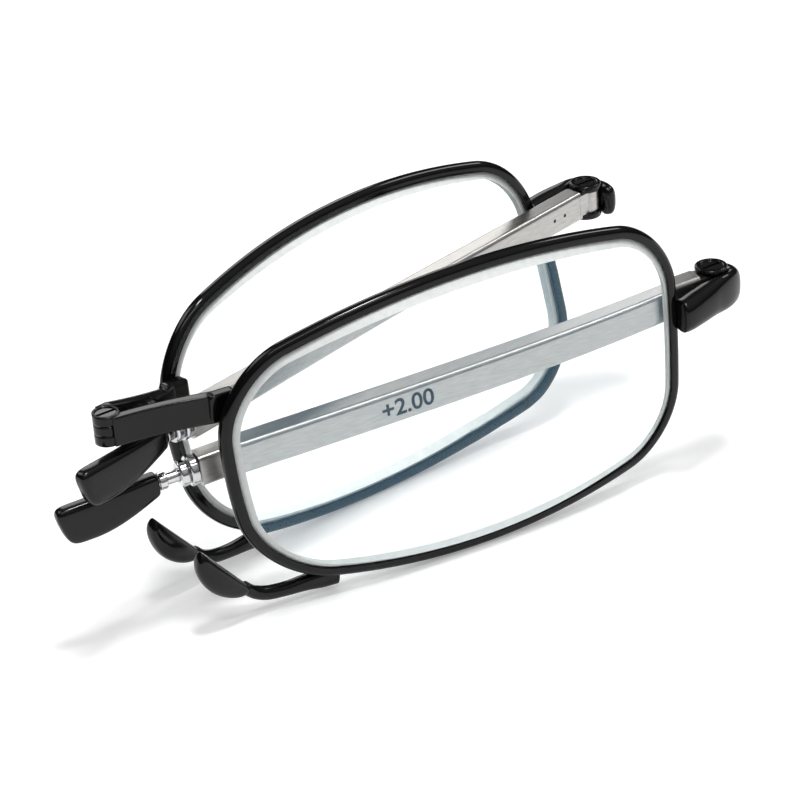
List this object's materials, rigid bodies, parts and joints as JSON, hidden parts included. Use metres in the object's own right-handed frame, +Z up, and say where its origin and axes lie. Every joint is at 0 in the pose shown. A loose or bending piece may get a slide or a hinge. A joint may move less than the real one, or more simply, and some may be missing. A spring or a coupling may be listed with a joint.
{
  "type": "folding reading glasses",
  "caption": "Compact reading glasses that fold at the bridge, with thin black rims, clear lenses and telescopic tube temples stowed between the lenses.",
  "frame": {"origin": "middle of the folded glasses, in the plane that they stand on", "axes": "+X from the bridge hinge to the temple hinges, +Y from the left lens to the right lens across the fold plane, +Z up along the bridge pin"},
  "size_m": [0.0744, 0.0284, 0.0321],
  "materials": {
    "rim_paint": "gloss black",
    "frame_paint": "gloss black",
    "lens_clear": "polished, with a blue anti-reflection coat",
    "screw_steel": "blackened",
    "tube_aluminium": "brushed",
    "chrome": "polished",
    "tip_plastic": "satin black",
    "pad_plastic": "satin black"
  },
  "bodies": {
    "left_front": {"left_rim": "rim_paint", "left_lens": "lens_clear", "left_bridge_arm": "frame_paint", "bridge_screw": "screw_steel", "left_end_piece": "frame_paint", "left_temple_screw": "screw_steel", "left_pad_arm": "frame_paint", "left_nose_pad": "pad_plastic"},
    "right_front": {"right_rim": "rim_paint", "right_lens": "lens_clear", "right_bridge_arm": "frame_paint", "right_end_piece": "frame_paint", "right_temple_screw": "screw_steel", "right_pad_arm": "frame_paint", "right_nose_pad": "pad_plastic"},
    "left_temple": {"left_temple_plug": "tube_aluminium", "left_tube": "tube_aluminium", "left_bush": "chrome"},
    "left_draw": {"left_draw_tube": "chrome"},
    "left_end": {"left_rod": "chrome", "left_ferrule": "chrome", "left_tip": "tip_plastic"},
    "right_temple": {"right_temple_plug": "tube_aluminium", "right_tube": "tube_aluminium", "right_bush": "chrome"},
    "right_draw": {"right_draw_tube": "chrome"},
    "right_end": {"right_rod": "chrome", "right_ferrule": "chrome", "right_tip": "tip_plastic"}
  },
  "joints": [
    {"name": "bridge_fold", "type": "hinge", "parent": "left_front", "child": "right_front", "pos_m": [-0.03154, 0, 0.02448], "axis": [0, 0, 1], "range_deg": [0, 166.4]},
    {"name": "left_temple_swing", "type": "hinge", "parent": "left_front", "child": "left_temple", "pos_m": [0.03386, -0.01, 0.01968], "axis": [0, 0, -1], "range_deg": [0, 92]},
    {"name": "right_temple_swing", "type": "hinge", "parent": "right_front", "child": "right_temple", "pos_m": [0.03386, 0.01, 0.02268], "axis": [0, 0, 1], "range_deg": [0, 92]},
    {"name": "left_draw_slide", "type": "slide", "parent": "left_temple", "child": "left_draw", "axis": [-0.9836, 0.1646, -0.0732], "range_m": [0, 0.03]},
    {"name": "left_rod_slide", "type": "slide", "parent": "left_draw", "child": "left_end", "axis": [-0.9836, 0.1646, -0.0732], "range_m": [-0.0012, 0.0268]},
    {"name": "right_draw_slide", "type": "slide", "parent": "right_temple", "child": "right_draw", "axis": [-0.9853, -0.1649, -0.0454], "range_m": [0, 0.03]},
    {"name": "right_rod_slide", "type": "slide", "parent": "right_draw", "child": "right_end", "axis": [-0.9853, -0.1649, -0.0454], "range_m": [0, 0.028]}
  ],
  "couplings": [
    {"joint": "left_temple_swing", "follows": "bridge_fold", "ratio": 0.05},
    {"joint": "right_temple_swing", "follows": "bridge_fold", "ratio": 0.05}
  ]
}
